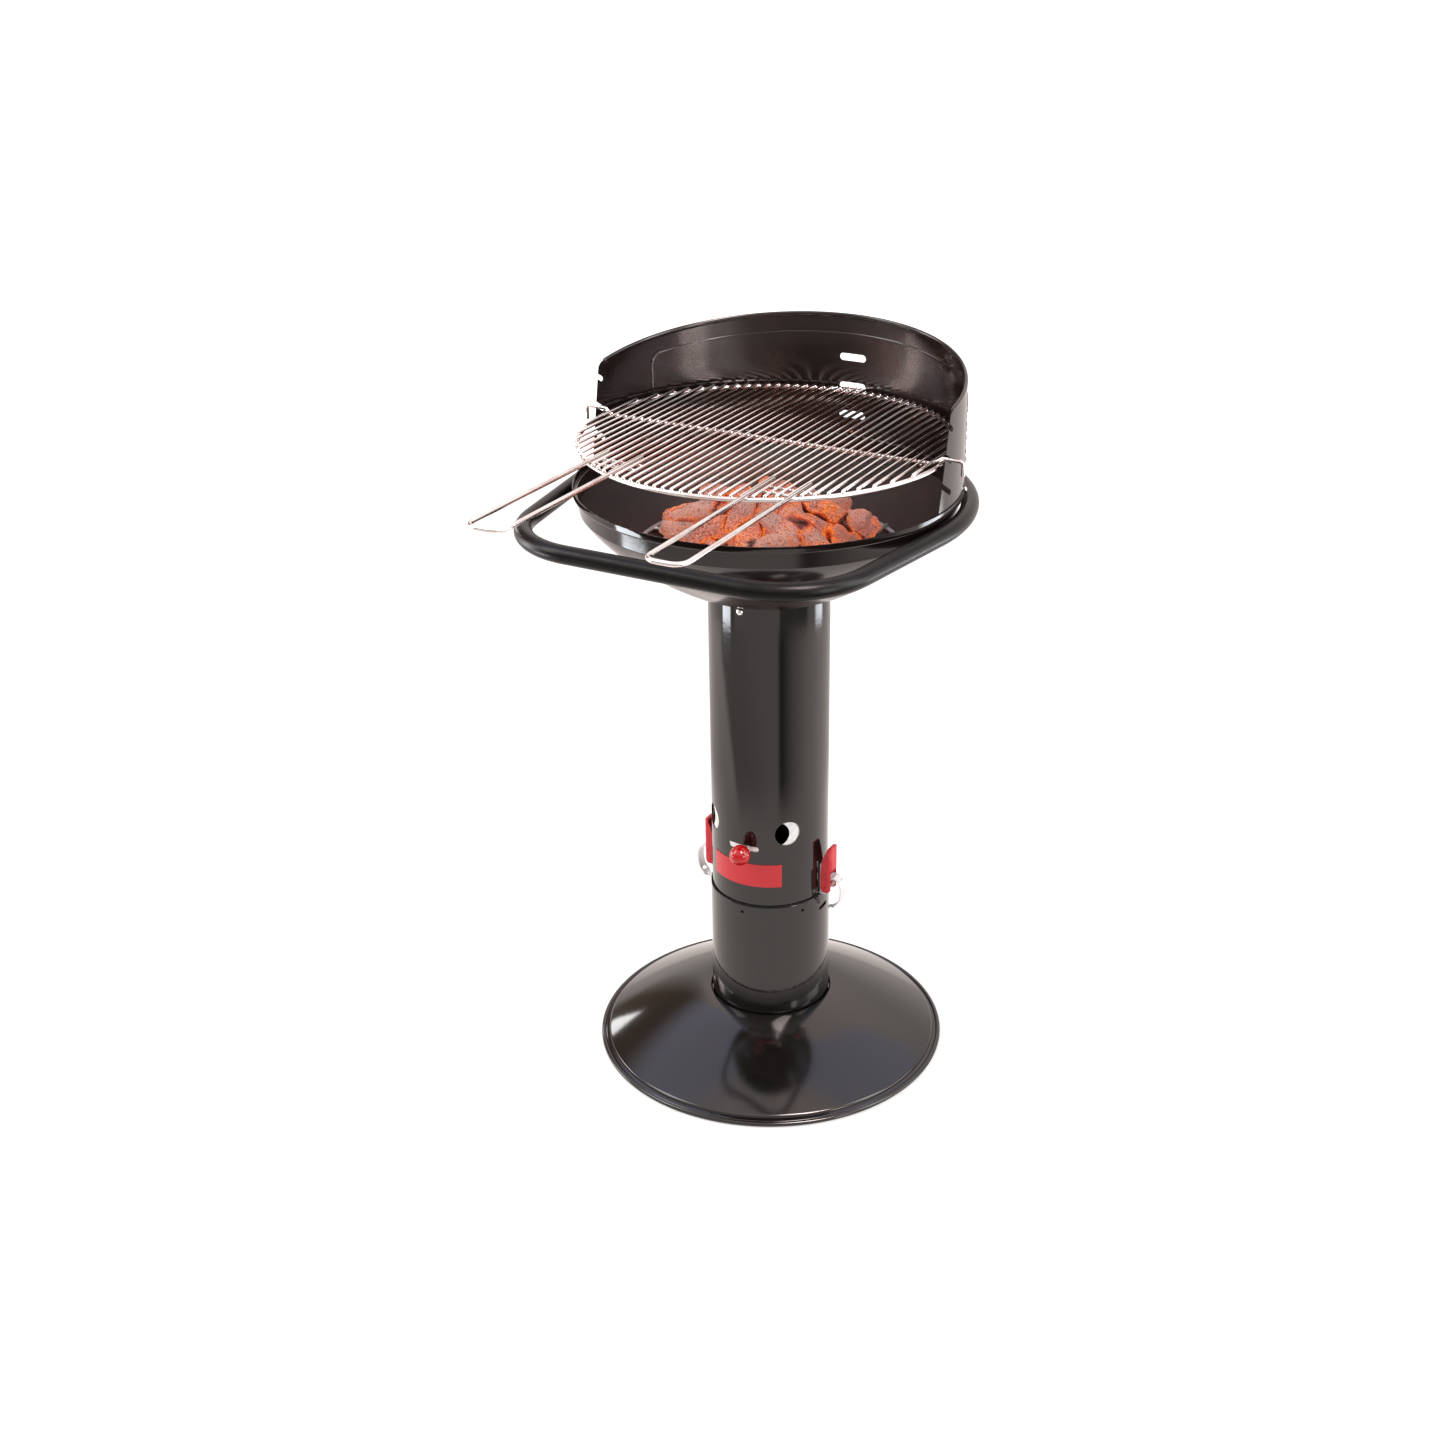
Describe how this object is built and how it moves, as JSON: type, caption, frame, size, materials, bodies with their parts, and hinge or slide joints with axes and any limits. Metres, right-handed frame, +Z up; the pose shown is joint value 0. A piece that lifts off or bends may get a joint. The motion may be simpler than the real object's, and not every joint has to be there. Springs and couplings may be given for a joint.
{
  "type": "park bbq grill pedestal",
  "caption": "Pedestal charcoal barbecue with a round base dish, ash pot, vented column, fire bowl, windscreen, wire cooking grid, damper and toggle latches.",
  "frame": {"origin": "centre of the ash pot's flat underside, on the floor and on the column axis", "axes": "+Z up along the column axis, -Y towards the front with the handle bar and the grid handles, +X to the right"},
  "size_m": [0.536, 0.7245, 0.9815],
  "materials": {
    "black_enamel": "gloss black enamel",
    "black_satin": "satin black",
    "chrome_wire": "bright chrome wire",
    "galvanised": "bright zinc",
    "red_lever": "satin red",
    "red_knob": "polished red",
    "ember": "glowing charcoal with ash"
  },
  "bodies": {
    "stand": {"base_dish": "black_enamel", "ash_pot": "black_enamel", "stop_ring": "galvanised", "base_screw_1": "galvanised", "base_screw_2": "galvanised", "base_screw_3": "galvanised"},
    "column": {"column_tube": "black_enamel", "fire_bowl": "black_enamel", "windscreen": "black_enamel", "handle_loop": "black_satin", "latch_bracket_right": "galvanised", "latch_bracket_left": "galvanised", "lever_pin_right": "galvanised", "lever_pin_left": "galvanised", "bowl_screw_1": "chrome_wire", "bowl_screw_2": "chrome_wire", "bowl_screw_3": "chrome_wire", "screen_screw_1": "chrome_wire", "screen_screw_2": "chrome_wire", "screen_screw_3": "chrome_wire", "handle_screw_1": "chrome_wire", "handle_screw_2": "chrome_wire", "handle_screw_3": "chrome_wire", "handle_screw_4": "chrome_wire"},
    "damper": {"damper_ring": "galvanised", "damper_screw": "galvanised", "damper_knob": "red_knob"},
    "ember_grate": {"charcoal_grate": "galvanised", "coal_01": "ember", "coal_02": "ember", "coal_03": "ember", "coal_04": "ember", "coal_05": "ember", "coal_06": "ember", "coal_07": "ember", "coal_08": "ember", "coal_09": "ember", "coal_10": "ember", "coal_11": "ember", "coal_12": "ember", "coal_13": "ember", "coal_14": "ember", "coal_15": "ember", "coal_16": "ember", "coal_17": "ember", "coal_18": "ember", "coal_19": "ember", "coal_20": "ember", "coal_21": "ember", "coal_22": "ember"},
    "grid": {"cooking_grid": "chrome_wire", "grid_handle_right": "chrome_wire", "grid_handle_left": "chrome_wire"},
    "lever_right": {"latch_lever_right": "red_lever", "claw_pin_right": "galvanised"},
    "claw_right": {"latch_claw_right": "galvanised"},
    "lever_left": {"latch_lever_left": "red_lever", "claw_pin_left": "galvanised"},
    "claw_left": {"latch_claw_left": "galvanised"}
  },
  "joints": [
    {"name": "column_lift", "type": "slide", "parent": "stand", "child": "column", "axis": [0, 0, 1], "range_m": [0, 0.12]},
    {"name": "damper_turn", "type": "hinge", "parent": "column", "child": "damper", "pos_m": [0, 0, 0.35], "axis": [0, 0, 1], "range_deg": [-17, 9]},
    {"name": "ember_grate_lift", "type": "slide", "parent": "column", "child": "ember_grate", "axis": [0, 0, 1], "range_m": [0, 0.05]},
    {"name": "grid_draw", "type": "slide", "parent": "column", "child": "grid", "axis": [0, -0.8526, 0.5225], "range_m": [0, 0.08]},
    {"name": "lever_right_swing", "type": "hinge", "parent": "column", "child": "lever_right", "pos_m": [0.0905, 0, 0.257], "axis": [0, 1, 0], "range_deg": [0, 70]},
    {"name": "claw_right_swing", "type": "hinge", "parent": "lever_right", "child": "claw_right", "pos_m": [0.094, 0, 0.271], "axis": [0, 1, 0], "range_deg": [-70, 0]},
    {"name": "lever_left_swing", "type": "hinge", "parent": "column", "child": "lever_left", "pos_m": [-0.0905, 0, 0.257], "axis": [0, -1, 0], "range_deg": [0, 70]},
    {"name": "claw_left_swing", "type": "hinge", "parent": "lever_left", "child": "claw_left", "pos_m": [-0.094, 0, 0.271], "axis": [0, -1, 0], "range_deg": [-70, 0]}
  ],
  "couplings": [
    {"joint": "claw_right_swing", "follows": "lever_right_swing", "ratio": -1},
    {"joint": "claw_left_swing", "follows": "lever_left_swing", "ratio": -1}
  ]
}
